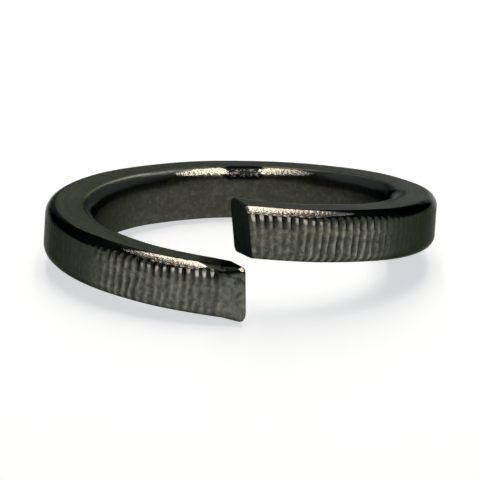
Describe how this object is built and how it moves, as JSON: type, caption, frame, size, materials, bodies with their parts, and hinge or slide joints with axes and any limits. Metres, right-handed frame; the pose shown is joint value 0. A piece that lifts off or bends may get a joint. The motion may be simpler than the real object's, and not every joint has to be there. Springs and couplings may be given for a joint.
{
  "type": "spring lock washer",
  "caption": "Slit steel spring washer whose lifted ends push back when a screw clamps it, with a finely ribbed outer wall.",
  "frame": {"origin": "on the bore axis, level with the lowest point, which is the low end's bottom edge", "axes": "+Z along the bore axis towards the high end, and the slit faces -Y"},
  "size_m": [0.038, 0.038, 0.0114],
  "materials": {
    "spring_steel": "dark oiled spring steel with fine drawn streaks along the bar"
  },
  "bodies": {
    "root": {"lock_washer": "spring_steel"}
  },
  "joints": []
}
